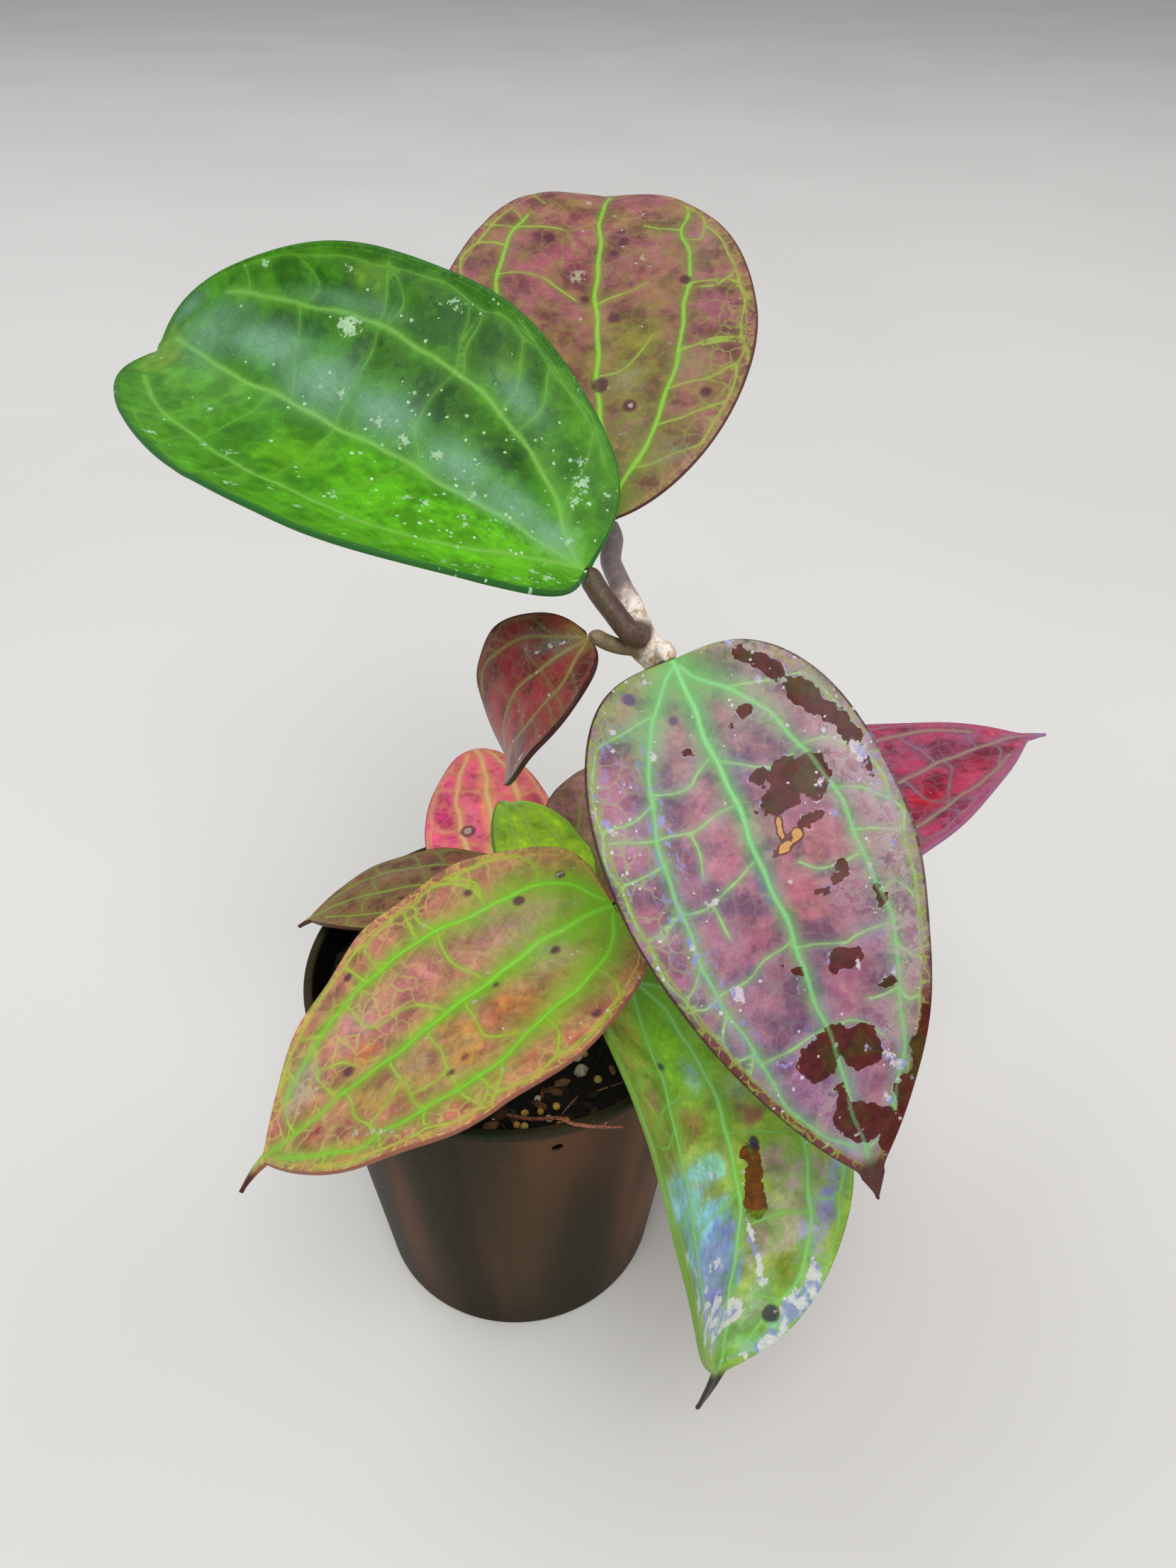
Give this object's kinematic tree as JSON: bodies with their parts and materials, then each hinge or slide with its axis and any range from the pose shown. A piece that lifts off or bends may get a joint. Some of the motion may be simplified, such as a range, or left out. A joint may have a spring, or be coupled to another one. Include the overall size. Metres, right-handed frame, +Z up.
{
  "type": "potted hoya",
  "caption": "Young hoya with an arching leafy stem, a short second stem and broad, thick, pointed leaves, rooted in potting mix in a round plastic nursery pot.",
  "frame": {"origin": "centre of the pot's flat underside, on the surface that it stands on", "axes": "+Z up; -Y towards the plant's front, where a leaf hangs over the rim; +X to the right as seen from the front"},
  "size_m": [0.2228, 0.2113, 0.2653],
  "materials": {
    "pot_plastic": "satin, moulded",
    "potting_mix": "rough, loose peat and bark",
    "cork_bark": "rough, corky",
    "green_bark": "matt",
    "dry_root": "matt",
    "leaf_green": "waxy, glossy",
    "leaf_olive": "waxy, satin",
    "leaf_dark_red": "waxy, wet",
    "leaf_mauve": "waxy, wet patches",
    "leaf_crimson": "waxy, satin",
    "leaf_patterned": "waxy, satin",
    "leaf_hanging": "waxy, wet",
    "leaf_brown": "waxy, satin",
    "leaf_pink": "waxy, satin",
    "leaf_bright_green": "waxy, glossy",
    "leaf_maroon": "waxy, satin"
  },
  "bodies": {
    "root": {"pot": "pot_plastic", "soil": "potting_mix", "vine_tall": "cork_bark", "vine_short": "green_bark", "root_strand": "dry_root", "leaf_top_left": "leaf_green", "leaf_top_rear": "leaf_olive", "leaf_small_red": "leaf_dark_red", "leaf_front_right": "leaf_mauve", "leaf_far_right": "leaf_crimson", "leaf_front_left": "leaf_patterned", "leaf_hanging": "leaf_hanging", "leaf_rear_left": "leaf_brown", "leaf_rear_pink": "leaf_pink", "leaf_rear_green": "leaf_bright_green", "leaf_rear_maroon": "leaf_maroon"}
  },
  "joints": []
}
